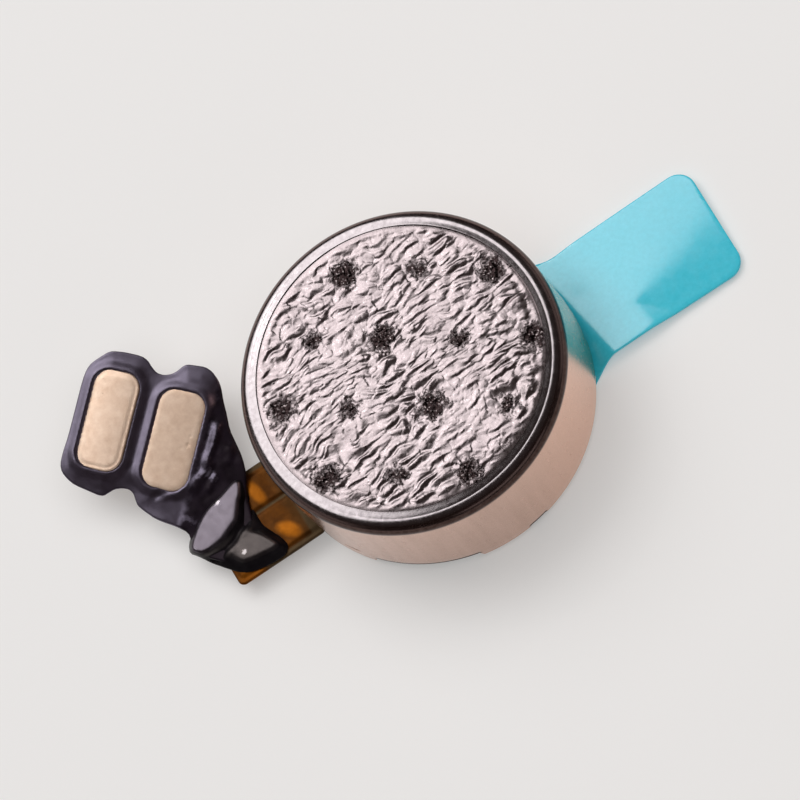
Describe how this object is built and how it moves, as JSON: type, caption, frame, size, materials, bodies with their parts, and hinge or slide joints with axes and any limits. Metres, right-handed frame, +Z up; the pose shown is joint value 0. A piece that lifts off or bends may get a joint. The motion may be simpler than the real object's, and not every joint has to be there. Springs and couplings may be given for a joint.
{
  "type": "vibration coin motor",
  "caption": "Flat coin-type vibration motor with an off-centre rotor, foil-covered steel case, folded contact lead with gold pads, and an adhesive base with a pull tab.",
  "frame": {"origin": "on the shaft axis, at the underside of the release liner that the motor rests on", "axes": "+Z up along the shaft, towards the foil-covered crown; +X along the pull tab; -X along the tail; the contact lead folds to the +Y side"},
  "size_m": [0.0165, 0.0095, 0.0032],
  "materials": {
    "case_steel": "nickel-plated drawn steel, satin wall and bright rolled rim",
    "bracket_steel": "stamped plated steel, satin",
    "shaft_steel": "ground and polished",
    "washer_film": "smooth translucent film",
    "magnet": "bonded magnet, fine grain",
    "amber_film": "amber polyimide, glossy",
    "copper": "rolled copper foil",
    "amber_cover": "amber translucent cover film, glossy",
    "brush_alloy": "precious-metal leaf",
    "foil": "crinkled metal foil with a lattice of pits",
    "adhesive": "tacky acrylic tape",
    "liner_film": "cyan polyester film, smooth",
    "lead_film": "black cover film, satin sheen",
    "solder": "bright solder",
    "potting": "black resin, glossy",
    "bearing_bronze": "sintered bronze, oiled",
    "board": "solder mask, satin",
    "gold_plate": "gold plate, satin",
    "winding": "enamelled copper wire",
    "tungsten": "sintered tungsten alloy, matt",
    "mould_resin": "moulded resin, matt",
    "stiffener": "polyimide stiffener, satin"
  },
  "bodies": {
    "motor": {"case_cover": "case_steel", "base_bracket": "bracket_steel", "shaft": "shaft_steel", "lower_washer": "washer_film", "upper_washer": "washer_film", "magnet_ring": "magnet", "motor_film": "amber_film", "film_copper": "copper", "film_cover": "amber_cover", "brush_positive": "brush_alloy", "brush_negative": "brush_alloy", "crown_foil": "foil", "base_adhesive": "adhesive", "release_liner": "liner_film", "lead_root": "lead_film", "solder_joints": "solder", "glue_bead": "potting"},
    "rotor": {"rotor_bearing": "bearing_bronze", "rotor_board": "board", "commutator_segments": "gold_plate", "coil_left": "winding", "coil_right": "winding", "counterweight": "tungsten", "rotor_mould": "mould_resin"},
    "tab": {"pull_tab": "liner_film"},
    "contact_head": {"lead_head": "lead_film", "contact_stiffener": "stiffener", "contact_pad_positive": "gold_plate", "contact_pad_negative": "gold_plate"}
  },
  "joints": [
    {"name": "rotor_spin", "type": "hinge", "parent": "motor", "child": "rotor", "pos_m": [0, 0, 0.002], "axis": [0, 0, 1], "continuous": true},
    {"name": "tab_bend", "type": "hinge", "parent": "motor", "child": "tab", "pos_m": [0.0041, 0, 0.00004], "axis": [0, -1, 0], "range_deg": [-80, 80], "stiffness_Nm_per_rad": 0.000001},
    {"name": "lead_fold", "type": "hinge", "parent": "motor", "child": "contact_head", "pos_m": [-0.0056, 0.0006, 0.00062], "axis": [1, 0, 0], "range_deg": [-10, 60], "stiffness_Nm_per_rad": 0.000002}
  ]
}
